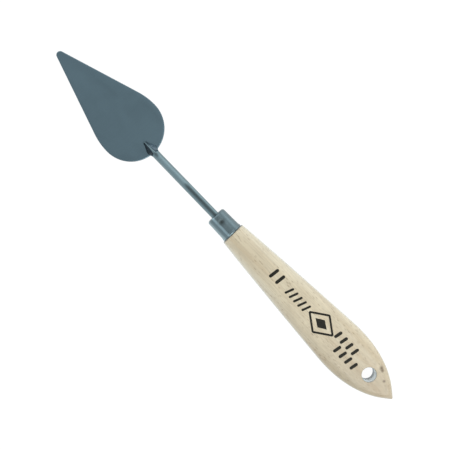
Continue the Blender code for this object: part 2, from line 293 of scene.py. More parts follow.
def colour_ramp(tree, value, stops):
    """A ramp over an output. stops are (position, grey or colour) pairs."""
    node = tree.nodes.new("ShaderNodeValToRGB")
    band = node.color_ramp
    while len(band.elements) < len(stops):
        band.elements.new(1.0)
    for element, (position, colour) in zip(band.elements, stops):
        element.position = position
        shade = (colour,) * 3 if isinstance(colour, (int, float)) else colour
        element.color = (*shade, 1)
    tree.links.new(value, node.inputs["Fac"])
    return node.outputs["Color"]


class Paint:
    """A Principled material whose nodes are added by short calls."""

    def __init__(self, name, metallic, roughness, colour, uv=False):
        self.material = bpy.data.materials.new(name)
        self.material.use_nodes = True
        self.tree = self.material.node_tree
        self.shader = self.tree.nodes["Principled BSDF"]
        self.shader.inputs["Metallic"].default_value = metallic
        self.shader.inputs["Roughness"].default_value = roughness
        self.shader.inputs["Base Color"].default_value = (*colour, 1)
        where = self.tree.nodes.new("ShaderNodeTexCoord")
        self.where = where.outputs["UV" if uv else "Object"]

    def set(self, **values):
        for name, value in values.items():
            self.shader.inputs[name.replace("_", " ")].default_value = value

    def link(self, output, socket):
        self.tree.links.new(output, socket)

    def into(self, name, output):
        self.link(output, self.shader.inputs[name])

    def stretched(self, scale):
        """The piece's own coordinates, scaled by features per metre along each axis."""
        node = self.tree.nodes.new("ShaderNodeMapping")
        node.inputs["Scale"].default_value = scale
        self.link(self.where, node.inputs["Vector"])
        return node.outputs["Vector"]

    def noise(self, scale, detail=3.0, roughness=0.5, distortion=0.0):
        node = self.tree.nodes.new("ShaderNodeTexNoise")
        node.inputs["Scale"].default_value = 1.0
        node.inputs["Detail"].default_value = detail
        node.inputs["Roughness"].default_value = roughness
        node.inputs["Distortion"].default_value = distortion
        self.link(self.stretched(scale), node.inputs["Vector"])
        return node.outputs["Fac"]

    def cells(self, scale):
        node = self.tree.nodes.new("ShaderNodeTexVoronoi")
        node.inputs["Scale"].default_value = 1.0
        self.link(self.stretched(scale), node.inputs["Vector"])
        return node.outputs["Distance"]

    def attribute(self, name):
        node = self.tree.nodes.new("ShaderNodeAttribute")
        node.attribute_name = name
        return node.outputs["Fac"]

    def along(self, axis, start, stop):
        """0 at one place along an axis and 1 at another."""
        split = self.tree.nodes.new("ShaderNodeSeparateXYZ")
        self.link(self.where, split.inputs["Vector"])
        node = self.tree.nodes.new("ShaderNodeMapRange")
        node.inputs["From Min"].default_value = start
        node.inputs["From Max"].default_value = stop
        self.link(split.outputs[axis], node.inputs["Value"])
        return node.outputs["Result"]

    def nearness(self, point, reach):
        """1 at a point of the piece, falling to 0 at a distance of reach."""
        apart = self.tree.nodes.new("ShaderNodeVectorMath")
        apart.operation = "DISTANCE"
        apart.inputs[1].default_value = point
        self.link(self.where, apart.inputs[0])
        node = self.tree.nodes.new("ShaderNodeMapRange")
        node.interpolation_type = "SMOOTHSTEP"
        node.inputs["From Max"].default_value = reach
        node.inputs["To Min"].default_value = 1.0
        node.inputs["To Max"].default_value = 0.0
        self.link(apart.outputs["Value"], node.inputs["Value"])
        return node.outputs["Result"]

    def ramp(self, value, stops):
        return colour_ramp(self.tree, value, stops)

    def blend(self, share, low, high, mode="MIX"):
        """Colour mix. low and high are colours or outputs; share is a number or an output."""
        node = self.tree.nodes.new("ShaderNodeMix")
        node.data_type = "RGBA"
        node.blend_type = mode
        for index, value in ((MIX_SHARE, share), (MIX_LOW, low), (MIX_HIGH, high)):
            if isinstance(value, bpy.types.NodeSocket):
                self.link(value, node.inputs[index])
            else:
                plain = value if isinstance(value, float) else (*value, 1)
                node.inputs[index].default_value = plain
        return node.outputs[MIX_RESULT]

    def scaled(self, value, low, high):
        """A 0 to 1 value, mapped to low to high."""
        node = self.tree.nodes.new("ShaderNodeMapRange")
        node.inputs["To Min"].default_value = low
        node.inputs["To Max"].default_value = high
        self.link(value, node.inputs["Value"])
        return node.outputs["Result"]

    def maths(self, operation, a, b):
        node = self.tree.nodes.new("ShaderNodeMath")
        node.operation = operation
        for socket, value in zip(node.inputs, (a, b)):
            if isinstance(value, bpy.types.NodeSocket):
                self.link(value, socket)
            else:
                socket.default_value = value
        return node.outputs["Value"]

    def bump(self, height, depth, strength=1.0):
        """Bump of a real depth in metres, stacked on any bump made before."""
        node = self.tree.nodes.new("ShaderNodeBump")
        node.inputs["Strength"].default_value = strength
        node.inputs["Distance"].default_value = depth
        self.link(height, node.inputs["Height"])
        socket = self.shader.inputs["Normal"]
        if socket.is_linked:
            self.link(socket.links[0].from_socket, node.inputs["Normal"])
        self.link(node.outputs["Normal"], socket)


# ---- materials ------------------------------------------------------------------------------

# (X, Y, reach) of small pin knots beside the hanging hole, on the upper face
KNOTS = ((0.0142, -0.0059, 1.5 * MM), (0.0131, -0.0054, 1.3 * MM), (0.0092, -0.0027, 1.1 * MM))
# length of the band of wood at the ferrule painted dark as shade in the gap
SEAM_SHADE_LENGTH = 0.7 * MM
# colour, cover and added roughness of a spot of steel painted dark as shade
PAINTED_SHADE_COLOUR = (0.045, 0.055, 0.055)
PAINTED_SHADE_COVER = 0.9
PAINTED_SHADE_DULLNESS = 0.35
ROUGHNESS_RANGE = 0.05


def ray_flecks(paint):
    """Short dark flecks, gathered in patches."""
    flecks = paint.ramp(paint.cells((330, 1500, 1500)), [(0.0, 0.85), (0.18, 0.65), (0.32, 0.0)])
    gate = paint.ramp(paint.noise((150, 500, 500), detail=2), [(0.40, 0.0), (0.60, 1.0)])
    return paint.blend(1.0, flecks, gate, "MULTIPLY")


def growth_bands(paint):
    """Broad soft bands along the grain, from brown to cream."""
    bands = paint.noise((9, 260, 120), detail=4, roughness=0.55, distortion=0.3)
    brown, middle, cream = (0.505, 0.415, 0.272), (0.575, 0.500, 0.352), (0.630, 0.572, 0.425)
    return paint.ramp(bands, [(0.30, brown), (0.50, middle), (0.72, cream)])


def toned_and_side_lit_butt(paint, body):
    """The butt is darker than the rest; toward it, its -Y side has painted light, its +Y side
    painted shade.
    """
    duller = paint.ramp(
        paint.along("X", -0.105, -0.055),
        [(0.0, (0.70, 0.655, 0.60)), (1.0, (1.0, 1.0, 1.0))],
    )
    body = paint.blend(1.0, body, duller, "MULTIPLY")
    # painted light, a little bluish, on the -Y side and painted shade, a little browner, on the +Y
    # side
    sides = paint.ramp(
        paint.along("Y", -BELLY_HALF_WIDTH, BELLY_HALF_WIDTH),
        [(0.0, (1.17, 1.18, 1.20)), (0.35, (1.02, 1.02, 1.02)), (1.0, (0.80, 0.785, 0.765))],
    )
    toward_butt = paint.along("X", -0.040, -0.085)
    return paint.blend(toward_butt, body, paint.blend(1.0, body, sides, "MULTIPLY"))


def hole_wall_light_and_shade(paint):
    """The hanging hole's wall by height: painted shade below, painted highlight midway, brown at
    top.
    """
    level = (STRAIGHT @ Vector((HANGING_HOLE_X, 0, 0))).z
    reach = 1.6 * (FLAT_FRONT - FLAT_FALL)
    dark, dim_shade = (0.05, 0.06, 0.055), (0.06, 0.07, 0.065)
    pale, palest_highlight = (0.70, 0.74, 0.74), (0.84, 0.87, 0.86)
    return paint.ramp(
        paint.along("Z", level - reach, level + reach),
        [(0.0, dark), (0.30, dim_shade), (0.48, pale), (0.80, palest_highlight), (0.95, (0.30, 0.29, 0.24))],
    )


def beech():
    """Pale beech: faint growth bands, fine streaks, short dark ray flecks and a thin lacquer."""
    paint = Paint("beech", 0.0, 0.46, (0.55, 0.47, 0.33))
    streaks = paint.noise((45, 2600, 2600), detail=4, roughness=0.6)
    blotches = paint.noise((38, 110, 110), detail=2)
    fleck = ray_flecks(paint)

    body = toned_and_side_lit_butt(paint, growth_bands(paint))
    warm = paint.ramp(blotches, [(0.42, 0.0), (0.75, 0.5)])
    body = paint.blend(warm, body, (0.43, 0.345, 0.225))
    fine = paint.ramp(streaks, [(0.35, 0.86), (0.60, 1.04)])
    body = paint.blend(1.0, body, fine, "MULTIPLY")
    shoulder = (STRAIGHT @ Vector((HANDLE_LENGTH, 0, 0))).x
    # a narrow band of wood at the shoulder painted dark, as shade in the gap at the ferrule
    seam_shade = paint.ramp(
        paint.along("X", shoulder - SEAM_SHADE_LENGTH, shoulder), [(0.2, 1.0), (0.8, 0.10)]
    )
    body = paint.blend(1.0, body, seam_shade, "MULTIPLY")
    body = paint.blend(fleck, body, (0.25, 0.18, 0.105))
    for x, y, reach in KNOTS:
        spot = paint.nearness(STRAIGHT @ Vector((x, y, handle_top(x, y))), reach)
        body = paint.blend(spot, body, (0.13, 0.085, 0.04))
    # the hanging hole's wall takes its painted shade and highlight
    body = paint.blend(paint.attribute("bore"), body, hole_wall_light_and_shade(paint))
    paint.into("Base Color", body)
    paint.into("Roughness", paint.scaled(streaks, 0.40, 0.56))
    paint.bump(streaks, 0.00002, 0.5)
    paint.bump(fleck, -0.00002, 0.5)
    paint.set(Coat_Weight=0.6, Coat_Roughness=0.35, Sheen_Weight=0.55, Sheen_Roughness=0.4)
    paint.set(Sheen_Tint=(0.72, 0.90, 1.0, 1))
    return paint.material


def steel(name, colour, roughness, streak, smudge=0.07, painted_shade=None, bands=None, reach=None):
    """Steel with fine lines along the stretched axis and soft smudges.

    The painted-shade argument is the place and reach of a spot painted dark as shade. bands are
    stripes painted lighter and darker side by side, as reflections: the half-width that they
    cover, and (share of the width, factor) pairs from -Y to +Y. reach is where they begin and
    where they are full, along X.
    """
    paint = Paint(name, 1.0, roughness, colour)
    lines = paint.noise(streak, detail=4, roughness=0.65)
    smears = paint.noise((120, 160, 160), detail=3, distortion=0.6)
    low = tuple(c * (1 - smudge) for c in colour)
    high = tuple(c * (1 + smudge) for c in colour)
    tone = paint.blend(paint.ramp(smears, [(0.3, 0.0), (0.7, 1.0)]), low, high)
    grain = paint.ramp(lines, [(0.3, 0.92), (0.7, 1.06)])
    tone = paint.blend(1.0, tone, grain, "MULTIPLY")
    # stripes painted lighter and darker across the width, as reflections
    if bands:
        half_width, stops = bands
        reflection_stripe = paint.ramp(paint.along("Y", -half_width, half_width), stops)
        share = paint.along("X", *reach) if reach else 1.0
        tone = paint.blend(share, tone, paint.blend(1.0, tone, reflection_stripe, "MULTIPLY"))
    # a spot painted dark, as shade in a hollow
    if painted_shade:
        shade_patch = paint.maths("MULTIPLY", paint.nearness(*painted_shade), PAINTED_SHADE_COVER)
        tone = paint.blend(shade_patch, tone, PAINTED_SHADE_COLOUR)
    paint.into("Base Color", tone)
    change = ROUGHNESS_RANGE
    smear_rough = paint.scaled(smears, roughness - change, roughness + change)
    rough = paint.maths("ADD", paint.scaled(lines, -change, change), smear_rough)
    if painted_shade:
        rough = paint.maths("ADD", rough, paint.maths("MULTIPLY", shade_patch, PAINTED_SHADE_DULLNESS))
    paint.into("Roughness", rough)
    paint.bump(lines, 0.000004, 0.6)
    return paint.material


def ferrule_steel():
    """Drawn steel, with two painted highlights on the +Y side and painted shade at -Y and in the
    dimple.
    """
    # centre of the painted shade in the dimple
    dimple = STRAIGHT @ Vector((DIMPLE_X, 0, ferrule_radius(DIMPLE_X) - DIMPLE_DEPTH))
    # painted reflections across the ferrule: shade toward -Y, highlights toward +Y
    reflection_stripes = [
        (0.0, 0.95), (0.20, 0.90), (0.29, 0.60), (0.38, 0.95), (0.61, 1.0), (0.66, 2.1),
        (0.71, 1.9), (0.76, 0.95), (0.84, 0.95), (0.92, 1.5), (1.0, 1.9),
    ]
    return steel(
        "ferrule_steel",
        colour=(0.168, 0.228, 0.248),
        roughness=0.38,
        streak=(160, 900, 900),
        smudge=0.12,
        painted_shade=(dimple, 1.5 * DIMPLE_RADIUS),
        bands=(FERRULE_REAR_RADIUS, reflection_stripes),
    )


def rod_steel():
    """Bright rod with a painted shade stripe and lighter edges, from where it levels out behind the
    crank.
    """
    # painted reflections across the rod: a darker stripe and lighter edges
    reflection_stripes = [(0.0, 1.1), (0.15, 1.1), (0.28, 0.62), (0.50, 0.68), (0.66, 1.05), (1.0, 1.1)]
    level_from = (STRAIGHT @ Vector((LENGTH - CRANK_HEAD + 2 * MM, 0, 0))).x
    return steel(
        "rod_steel",
        colour=(0.18, 0.25, 0.27),
        roughness=0.30,
        streak=(60, 2200, 2200),
        bands=(SHANK_RADIUS, reflection_stripes),
        reach=(level_from, level_from - 3 * MM),
    )


def blade_steel():
    """Fine-ground slate-grey spring steel: crosswise grinding lines, wiping marks, painted rim
    shade.
    """
    paint = Paint("blade_steel", 1.0, 0.34, (0.17, 0.26, 0.31), uv=True)
    lines = paint.noise((2600, 60, 1), detail=3, roughness=0.6)
    wipes = paint.noise((60, 110, 1), detail=3, distortion=0.8)
    tone = paint.ramp(wipes, [(0.3, (0.162, 0.244, 0.289)), (0.7, (0.170, 0.256, 0.302))])
    grain = paint.ramp(lines, [(0.3, 0.975), (0.7, 1.02)])
    tone = paint.blend(1.0, tone, grain, "MULTIPLY")
    # the ground rim is painted near black, as shade along the blade's edge
    rim_shade = paint.attribute("rim_shade")
    paint.into("Base Color", paint.blend(rim_shade, tone, (0.045, 0.065, 0.075)))
    paint.into("Roughness", paint.scaled(wipes, 0.30, 0.40))
    paint.bump(lines, 0.000002, 0.5)
    return paint.material


def weld_steel():
    """Filler that was ground by hand: lumpy, mottled, and painted darker on the +Y side as shade.
    """
    paint = Paint("weld_steel", 1.0, 0.42, (0.24, 0.32, 0.37))
    lumps = paint.noise((1500, 1500, 1500), detail=3, roughness=0.6)
    patches = paint.noise((700, 900, 900), detail=2, distortion=0.8)
    dark, middle, pale = (0.06, 0.085, 0.095), (0.12, 0.17, 0.205), (0.20, 0.26, 0.30)
    tone = paint.ramp(patches, [(0.32, dark), (0.5, middle), (0.72, pale)])
    # the +Y side is painted darker, as shade
    side_shade = paint.ramp(paint.along("Y", -1.0 * MM, 0.6 * MM), [(0.0, 1.0), (1.0, 0.32)])
    paint.into("Base Color", paint.blend(1.0, tone, side_shade, "MULTIPLY"))
    paint.into("Roughness", paint.scaled(lumps, 0.36, 0.62))
    paint.bump(lumps, 0.00006, 0.8)
    return paint.material


def ink():
    """Printed dark ink, a little worn."""
    paint = Paint("ink", 0.0, 0.5, (0.018, 0.018, 0.013))
    wear = paint.noise((1800, 1800, 1800), detail=2)
    black, worn = (0.009, 0.009, 0.006), (0.022, 0.021, 0.015)
    paint.into("Base Color", paint.ramp(wear, [(0.35, black), (0.75, worn)]))
    paint.into("Roughness", paint.scaled(wear, 0.4, 0.6))
    paint.set(Specular_IOR_Level=0.15)
    return paint.material


def adhesive():
    """Cured amber epoxy with small bubbles."""
    paint = Paint("adhesive", 0.0, 0.3, (0.70, 0.60, 0.38))
    bubbles = paint.cells((900, 900, 900))
    pale, amber = (0.78, 0.70, 0.50), (0.66, 0.54, 0.32)
    paint.into("Base Color", paint.ramp(bubbles, [(0.0, pale), (0.4, amber)]))
    paint.bump(bubbles, 0.00003, 0.4)
    return paint.material


# ---- blade ----------------------------------------------------------------------------------

def blade_half_outline():
    """(distance from the tip, half-width) from the tip round one side to the tongue's corner."""
    side = math.pi / 2
    tip = arc(TIP_RADIUS, 0, TIP_RADIUS, math.pi, side + FLANK_ANGLE, 14)
    shoulder_y = HEEL_RADIUS - SHOULDER_RADIUS
    shoulder = arc(HEEL_TO_TIP, shoulder_y, SHOULDER_RADIUS, side + FLANK_ANGLE, side, 16)
    reach = HEEL_RADIUS + TONGUE_FILLET
    fillet_y = TONGUE_HALF_WIDTH + TONGUE_FILLET
    meet = math.asin(fillet_y / reach)
    fillet_x = HEEL_TO_TIP + reach * math.cos(meet)
    heel = arc(HEEL_TO_TIP, 0, HEEL_RADIUS, side, meet, 56)
    fillet = arc(fillet_x, fillet_y, TONGUE_FILLET, math.pi + meet, 3 * side, 8)
    flank = line(tip[-1], shoulder[0], 36)
    corner = (TONGUE_END, TONGUE_HALF_WIDTH)
    return tip + flank[1:] + shoulder[1:] + heel[1:] + fillet[1:] + [corner]


def lay_out_plan(item):
    """Gives the blade the plan's own coordinates, so that its finish stays on the blade's own
    corners.
    """
    layer = item.data.uv_layers.new(name="plan")
    for loop in item.data.loops:
        point = item.data.vertices[loop.vertex_index].co
        layer.data[loop.index].uv = (point.x, point.y)


def mark_rim_shade(item):
    """Marks the ground rim for its painted shade: 1 at the edge's middle and 0 on the two faces."""
    rim_shade = item.data.attributes.new("rim_shade", "FLOAT", "POINT")
    to_straight = STRAIGHT.inverted()
    for vertex in item.data.vertices:
        height = abs((to_straight @ vertex.co).z + BLADE_DROP) / (BLADE_THICKNESS / 2)
        share = (height - RIM_SHADE_FROM) / (RIM_SHADE_TO - RIM_SHADE_FROM)
        rim_shade.data[vertex.index].value = 1.0 - smooth_step(share)


def blade_plate():
    """A flat plate whose rim is ground back on both faces, as a grid across the blade."""
    half = BLADE_THICKNESS / 2
    upper = list(RIM_PROFILE)
    edge = upper + [(0.0, 0.0)] + [(inset, -z) for inset, z in reversed(upper)]
    edge = [(inset * BLADE_RIM, z * half) for inset, z in edge]
    across = np.linspace(0, 1, 15)
    outline = np.array(blade_half_outline())
    ahead = np.gradient(outline, axis=0)
    ahead /= np.linalg.norm(ahead, axis=1)[:, None]
    normals = np.stack([-ahead[:, 1], ahead[:, 0]], axis=1)
    normals[0] = (-1, 0)
    normals[-1] = (1, 1)

    def corner(i, inset, z, side):
        d, y = outline[i] - normals[i] * inset
        return (LENGTH - d, side * max(y, 0.0), -BLADE_DROP + z)

    def row(start, stop):
        return [tuple(mix(a, b, t) for a, b in zip(start, stop)) for t in across]

    shape = Shape()
    rings = []
    for i in range(len(outline)):
        left = [corner(i, inset, z, 1) for inset, z in edge]
        right = [corner(i, inset, z, -1) for inset, z in edge]
        top = row(left[0], right[0])
        bottom = row(right[-1], left[-1])
        rings.append(top + right[1:-1] + bottom + left[-2:0:-1])
    shape.loft(rings, caps=False)
    end = len(outline) - 1
    rows = [row(corner(end, inset, z, 1), corner(end, inset, z, -1)) for inset, z in edge]
    loops = [shape.add(points) for points in rows]
    for near, far in zip(loops, loops[1:]):
        shape.skin(near, far, closed=False)
    item = to_object("blade_plate", shape, smooth_angle=40)
    lay_out_plan(item)
    mark_rim_shade(item)
    return item


# ---- shank ----------------------------------------------------------------------------------

def spine_radius(distance):
    share = (distance - SPINE_START) / (SPINE_END - SPINE_START)
    return mix(SPINE_TIP_RADIUS, SHANK_RADIUS, smooth_step(share))


def bend(corner, direction, inward, turn, steps=16):
    """Stations along a round bend at a corner of the rod's path."""
    start = corner - direction * BEND_RADIUS * math.tan(turn / 2)
    centre = start + inward * BEND_RADIUS
    stations = []
    for i in range(steps + 1):
        c, s = math.cos(turn * i / steps), math.sin(turn * i / steps)
        point = centre + (direction * s - inward * c) * BEND_RADIUS
        stations.append((point, direction * c + inward * s, SHANK_RADIUS, 0.0))
    return stations


def shank_path():
    """(point, direction, radius, crest) along the rod in the XZ plane, from spine to tang.

    crest is 1 where the rod is ground to a ridge and 0 where it is round.
    """
    back, up = Vector((-1, 0)), Vector((0, 1))
    foot = Vector((LENGTH - CRANK_FOOT, SPINE_BOTTOM_Z + SHANK_RADIUS))
    head = Vector((LENGTH - CRANK_HEAD, 0))
    rise = math.atan2(head.y - foot.y, foot.x - head.x)
    climb = back * math.cos(rise) + up * math.sin(rise)
    over = back * math.sin(rise) - up * math.cos(rise)
    stations = []
    for turn in np.linspace(math.radians(12), math.pi / 2, 8)[:-1]:
        radius = SPINE_TIP_RADIUS * math.sin(turn)
        x = LENGTH - SPINE_START - SPINE_TIP_RADIUS * (1 - math.cos(turn))
        stations.append((Vector((x, SPINE_BOTTOM_Z + SPINE_TIP_RADIUS)), back, radius, 1.0))
    for share in np.linspace(0, 1, 36):
        distance = mix(SPINE_START + SPINE_TIP_RADIUS, SPINE_END, share)
        radius = spine_radius(distance)
        point = Vector((LENGTH - distance, SPINE_BOTTOM_Z + radius))
        fade = (share - SPINE_RIDGE_END) / (1 - SPINE_RIDGE_END)
        stations.append((point, back, radius, 1 - smooth_step(fade)))
    stations += bend(foot, back, up, rise)
    rear_of_foot, front_of_head = stations[-1], bend(head, climb, over, rise)[0]
    for share in np.linspace(0, 1, 16)[1:-1]:
        point = rear_of_foot[0].lerp(front_of_head[0], share)
        stations.append((point, climb, SHANK_RADIUS, 0.0))
    stations += bend(head, climb, over, rise)
    start = stations[-1][0]
    end = Vector((TANG_END_X, 0))
    for share in np.linspace(0, 1, 24)[1:-1]:
        stations.append((start.lerp(end, share), back, SHANK_RADIUS, 0.0))
    stations.append((end + Vector((TANG_CHAMFER, 0)), back, SHANK_RADIUS, 0.0))
    stations.append((end, back, SHANK_RADIUS - TANG_CHAMFER, 0.0))
    return stations


def shank_rod():
    shape = Shape()
    rings = []
    for centre, direction, radius, crest in shank_path():
        up = Vector((-direction.y, direction.x))
        ring = []
        for a in angles(56):
            c, s = math.cos(a), math.sin(a)
            pinch = 1 + SPINE_PINCH * crest * max(0.0, s)
            reach = radius * (1 - SPINE_NARROWING * crest)
            lift = centre + up * radius * s
            ring.append((lift.x, reach * math.copysign(abs(c) ** pinch, c), lift.y))
        rings.append(ring)
    shape.loft(rings)
    return to_object("shank_rod", shape)


# ---- weld -----------------------------------------------------------------------------------

def weld_half_width(distance):
    if distance < WELD_WIDEST:
        share = (distance - WELD_FRONT) / (WELD_WIDEST - WELD_FRONT)
        return mix(WELD_FRONT_HALF_WIDTH, WELD_GREATEST_HALF_WIDTH, smooth_step(share))
    share = (distance - WELD_WIDEST) / (WELD_REAR - WELD_WIDEST)
    return mix(WELD_GREATEST_HALF_WIDTH, WELD_REAR_HALF_WIDTH, smooth_step(share))


def weld_fillet():
    """Filler run up both sides of the spine: lumpy, thin at its edges, level below the ridge."""
    shape = Shape()
    rings = []
    steps = 40
    for i in range(steps + 1):
        along = i / steps
        distance = mix(WELD_FRONT, WELD_REAR, along)
        reach = weld_half_width(distance)
        peak = SPINE_BOTTOM_Z + 2 * spine_radius(distance)
        shelf = SPINE_BOTTOM_Z + WELD_SHELF * spine_radius(distance)
        foot_z = WELD_BOTTOM_Z + 0.5 * GAP
        x = LENGTH - distance
        top = []
        for y in np.linspace(-reach, reach, 41):
            climb = (1 - abs(y) / reach) ** WELD_BULGE
            fade = min(1.0, along / WELD_ENDS, (1 - along) / WELD_ENDS)
            lump = noise.noise(Vector((x, y, 0)) * LUMPS_PER_METRE)
            lump *= LUMP_HEIGHT * math.sqrt(climb) * fade
            top.append((x, y, max(foot_z, min(shelf, mix(foot_z, peak, climb)) + lump)))
        bottom = [(x, y, WELD_BOTTOM_Z) for y in np.linspace(reach, -reach, 11)]
        rings.append(top + bottom)
    shape.loft(rings)
    return to_object("weld_fillet", shape, smooth_angle=60)


# ---- ferrule --------------------------------------------------------------------------------

def ferrule_radius(x):
    """Outer radius of the plain cone, without the bead."""
    share = (FERRULE_FRONT_X - x) / (FERRULE_FRONT_X - FERRULE_REAR_X)
    return mix(FERRULE_FRONT_RADIUS, FERRULE_REAR_RADIUS, share)


def ferrule_profile():
    """(x, radius, outer) once round the wall's section, outer side first, front to rear."""
    hole = SHANK_RADIUS + GAP
    barrel_start = FERRULE_FRONT_X - FERRULE_SHOULDER
    barrel_end = FERRULE_REAR_X + BEAD_LENGTH
    edge_r = ferrule_radius(barrel_start) - FERRULE_SHOULDER
    lip = FERRULE_HOLE_LIP
    face = line((FERRULE_FRONT_X, hole + lip), (FERRULE_FRONT_X, edge_r), 6)
    shoulder = arc(barrel_start, edge_r, FERRULE_SHOULDER, 0, math.pi / 2, 14)
    barrel = [(x, ferrule_radius(x)) for x in np.linspace(barrel_start, barrel_end, 46)]
    bead = []
    for share in np.linspace(0, 1, 15)[1:]:
        x = mix(barrel_end, FERRULE_REAR_X, share)
        swell = math.sin(math.pi * min(share, BEAD_EDGE))
        bead.append((x, ferrule_radius(x) + BEAD_HEIGHT * swell))
    outer = face[1:] + shoulder[1:] + barrel[1:] + bead
    inner = [
        (FERRULE_REAR_X, ferrule_radius(FERRULE_REAR_X) - FERRULE_WALL),
        (barrel_start, ferrule_radius(barrel_start) - FERRULE_WALL),
        (FERRULE_FRONT_X - FERRULE_WALL, edge_r),
        (FERRULE_FRONT_X - FERRULE_WALL, hole),
    ]
    front = [
        (FERRULE_FRONT_X - lip, hole),
        (FERRULE_FRONT_X - 0.3 * lip, hole + 0.3 * lip),
        (FERRULE_FRONT_X, hole + lip),
    ]
    return [(x, r, True) for x, r in front + outer] + [(x, r, False) for x, r in inner]


def ferrule_cap():
    shape = Shape()
    rings = []
    for a in angles(144):
        ring = []
        for x, radius, outer in ferrule_profile():
            y, z = radius * math.cos(a), radius * math.sin(a)
            if outer and z > 0:
                spread = math.hypot(x - DIMPLE_X, y) / DIMPLE_RADIUS
                z -= DIMPLE_DEPTH * (1 - smooth_step(spread))
            ring.append((x, y, z))
        rings.append(ring)
    shape.loft(rings, closed=True)
    return to_object("ferrule_cap", shape, smooth_angle=50)


# ---- handle ---------------------------------------------------------------------------------

def handle_outline():
    """(distance from the shoulder, half-width) from the shoulder to the butt's rounded point."""
    apex = HANDLE_LENGTH + NOSE_RADIUS * (1 / math.sin(BUTT_ANGLE) - 1)
    flank = bezier(
        (0, HANDLE_FRONT_HALF_WIDTH),
        (FLANK_HANDLE, HANDLE_FRONT_HALF_WIDTH + FLANK_SLOPE * FLANK_HANDLE),
        (BELLY_AT - BELLY_HANDLES[0], BELLY_HALF_WIDTH),
        (BELLY_AT, BELLY_HALF_WIDTH),
        90,
    )
    butt = bezier(
        (BELLY_AT, BELLY_HALF_WIDTH),
        (BELLY_AT + BELLY_HANDLES[1], BELLY_HALF_WIDTH),
        (apex - BUTT_HANDLE * math.cos(BUTT_ANGLE), BUTT_HANDLE * math.sin(BUTT_ANGLE)),
        (apex, 0),
        70,
    )
    tangent = NOSE_RADIUS * math.cos(BUTT_ANGLE)
    sides = [point for point in butt[1:] if point[1] > 1.05 * tangent]
    nose_start = math.pi / 2 - BUTT_ANGLE
    nose = arc(HANDLE_LENGTH - NOSE_RADIUS, 0, NOSE_RADIUS, nose_start, math.radians(4), 8)
    return flank[1:] + sides + nose


OUTLINE = handle_outline()
OUTLINE_AT = [0.0] + [point[0] for point in OUTLINE]
OUTLINE_HALF = [HANDLE_FRONT_HALF_WIDTH] + [point[1] for point in OUTLINE]


def section_size(distance, half_width):
    """Half-height, squareness and level share of the section: a turned round cut by two flats."""
    flat = FLAT_FRONT - FLAT_FALL * (max(distance, 0) / HANDLE_LENGTH) ** FLAT_POWER
    softness = FLAT_SOFTNESS
    half_height = (half_width ** -softness + flat ** -softness) ** (-1 / softness)
    flattening = 1 - half_height / half_width
    return half_height, 2 + FLAT_SQUARENESS * flattening, 1 - FLAT_LEVEL * flattening


def handle_section(distance, half_width, sides):
    half_height, squareness, level = section_size(distance, half_width)
    ring = []
    for a in angles(sides):
        c, s = math.cos(a), math.sin(a)
        y = half_width * math.copysign(abs(c) ** (2 / squareness), c)
        z = half_height * math.copysign(min(abs(s) ** (2 / squareness) / level, 1), s)
        ring.append((HANDLE_LENGTH - distance, y, z))
    return ring


def handle_top(x, y):
    """Height of the handle's upper face over its axis at a place seen from above."""
    distance = HANDLE_LENGTH - x
    half_width = float(np.interp(distance, OUTLINE_AT, OUTLINE_HALF))
    half_height, squareness, level = section_size(distance, half_width)
    share = min(1.0, abs(y) / half_width)
    return half_height * min((1 - share ** squareness) ** (1 / squareness) / level, 1)


def hole_cutter():
    """A turned plug whose lip follows the handle's faces, so that the rim is evenly round."""
    turns = np.linspace(0, HOLE_LIP_TURN, 7)
    rings = []
    for a in np.linspace(0, 2 * math.pi, 97)[:-1]:
        c, s = math.cos(a), math.sin(a)
        wide = HANGING_HOLE_RADIUS + HOLE_LIP
        face = handle_top(HANGING_HOLE_X + wide * c, wide * s)
        upper = []
        for turn in turns:
            radius = HANGING_HOLE_RADIUS + HOLE_LIP * (1 - math.cos(turn))
            upper.append((radius, face - HOLE_LIP * (1 - math.sin(turn))))
        upper.append((upper[-1][0] + CUTTER_FLARE, face + CUTTER_PROUD))
        run = [(radius, -z) for radius, z in reversed(upper)] + upper
        rings.append([(HANGING_HOLE_X + radius * c, radius * s, z) for radius, z in run])
    shape = Shape()
    loops = [shape.add(ring) for ring in rings]
    for near, far in zip(loops, loops[1:] + loops[:1]):
        shape.skin(near, far, closed=False)
    shape.faces.append(tuple(loop[0] for loop in loops))
    shape.faces.append(tuple(reversed([loop[-1] for loop in loops])))
    return to_object("hole_cutter", shape)


def drill_hanging_hole(item):
    cutter = hole_cutter()
    drill = item.modifiers.new("hanging_hole", "BOOLEAN")
    drill.operation = "DIFFERENCE"
    drill.solver = "EXACT"
    drill.object = cutter
    bpy.context.view_layer.update()
    seen = item.evaluated_get(bpy.context.evaluated_depsgraph_get())
    drilled = bpy.data.meshes.new_from_object(seen)
    item.modifiers.clear()
    item.data = drilled
    drilled.shade_smooth()
    drilled.set_sharp_from_angle(angle=math.radians(40))
    bpy.data.objects.remove(cutter, do_unlink=True)


def mark_bore(mesh):
    """Marks the hanging hole's wall with 1 and the rest of the handle with 0."""
    bore = mesh.attributes.new("bore", "FLOAT", "POINT")
    to_straight = STRAIGHT.inverted()
    for vertex in mesh.vertices:
        place = to_straight @ vertex.co
        away = math.hypot(place.x - HANGING_HOLE_X, place.y)
        bore.data[vertex.index].value = float(away < HANGING_HOLE_RADIUS + HOLE_LIP / 2)


